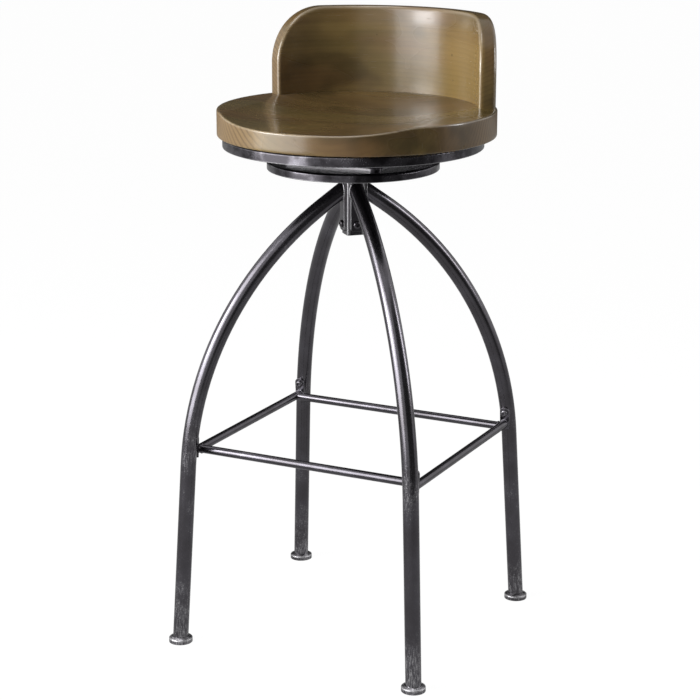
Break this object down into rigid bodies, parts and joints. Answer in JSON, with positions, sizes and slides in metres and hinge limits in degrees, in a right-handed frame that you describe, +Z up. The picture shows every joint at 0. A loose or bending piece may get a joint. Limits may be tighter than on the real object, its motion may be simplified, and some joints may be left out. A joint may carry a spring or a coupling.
{
  "type": "swivel bar stool",
  "caption": "Swivel bar stool with a scooped round wooden seat, a low wrap-around wooden back, bent dark steel tube legs and a rectangular rod footrest.",
  "frame": {"origin": "on the floor under the swivel axis", "axes": "+Z up along the swivel axis; the seat faces -Y and the backrest is on the +Y side; +X is to the right of someone who looks at the stool from its front"},
  "size_m": [0.4052, 0.4091, 0.886],
  "materials": {
    "stained_wood": "satin stained wood",
    "pale_wood": "plain turned wood",
    "dark_steel": "black with rubbed silver highlights",
    "bolt_steel": "black",
    "plated_steel": "zinc plated",
    "cage_steel": "pressed",
    "bearing_steel": "polished"
  },
  "bodies": {
    "frame": {"leg_back_right": "dark_steel", "leg_back_left": "dark_steel", "leg_front_left": "dark_steel", "leg_front_right": "dark_steel", "leg_flange_back_right": "dark_steel", "leg_flange_back_left": "dark_steel", "leg_flange_front_left": "dark_steel", "leg_flange_front_right": "dark_steel", "footrest_tab_back_right": "dark_steel", "footrest_tab_back_left": "dark_steel", "footrest_tab_front_left": "dark_steel", "footrest_tab_front_right": "dark_steel", "footrest_right_rod": "dark_steel", "footrest_left_rod": "dark_steel", "footrest_back_rod": "dark_steel", "footrest_front_rod": "dark_steel", "footrest_bolts": "bolt_steel", "footrest_rivet_nuts": "plated_steel", "foot_back_right": "dark_steel", "foot_back_left": "dark_steel", "foot_front_left": "dark_steel", "foot_front_right": "dark_steel", "hub_tube": "dark_steel", "flange_bolts": "bolt_steel", "hub_weld_nuts": "plated_steel", "lower_disc": "dark_steel", "swivel_lower_plate": "plated_steel", "swivel_lower_bolts": "plated_steel", "swivel_lower_nuts": "plated_steel", "pivot_bolt": "plated_steel", "pivot_washer": "plated_steel", "pivot_lock_nut": "plated_steel"},
    "bearing": {"ball_cage": "cage_steel", "bearing_balls": "bearing_steel"},
    "seat": {"swivel_upper_plate": "plated_steel", "swivel_upper_bolts": "plated_steel", "upper_disc": "dark_steel", "upper_disc_screws": "plated_steel", "seat_inserts": "plated_steel", "seat_board": "stained_wood", "backrest": "stained_wood", "backrest_dowels": "pale_wood", "backrest_screws": "plated_steel"}
  },
  "joints": [
    {"name": "seat_swivel", "type": "hinge", "parent": "frame", "child": "seat", "pos_m": [0, 0, 0.7069], "axis": [0, 0, 1], "continuous": true},
    {"name": "bearing_spin", "type": "hinge", "parent": "frame", "child": "bearing", "pos_m": [0, 0, 0.7069], "axis": [0, 0, 1], "continuous": true}
  ],
  "couplings": [
    {"joint": "bearing_spin", "follows": "seat_swivel", "ratio": 0.5}
  ]
}
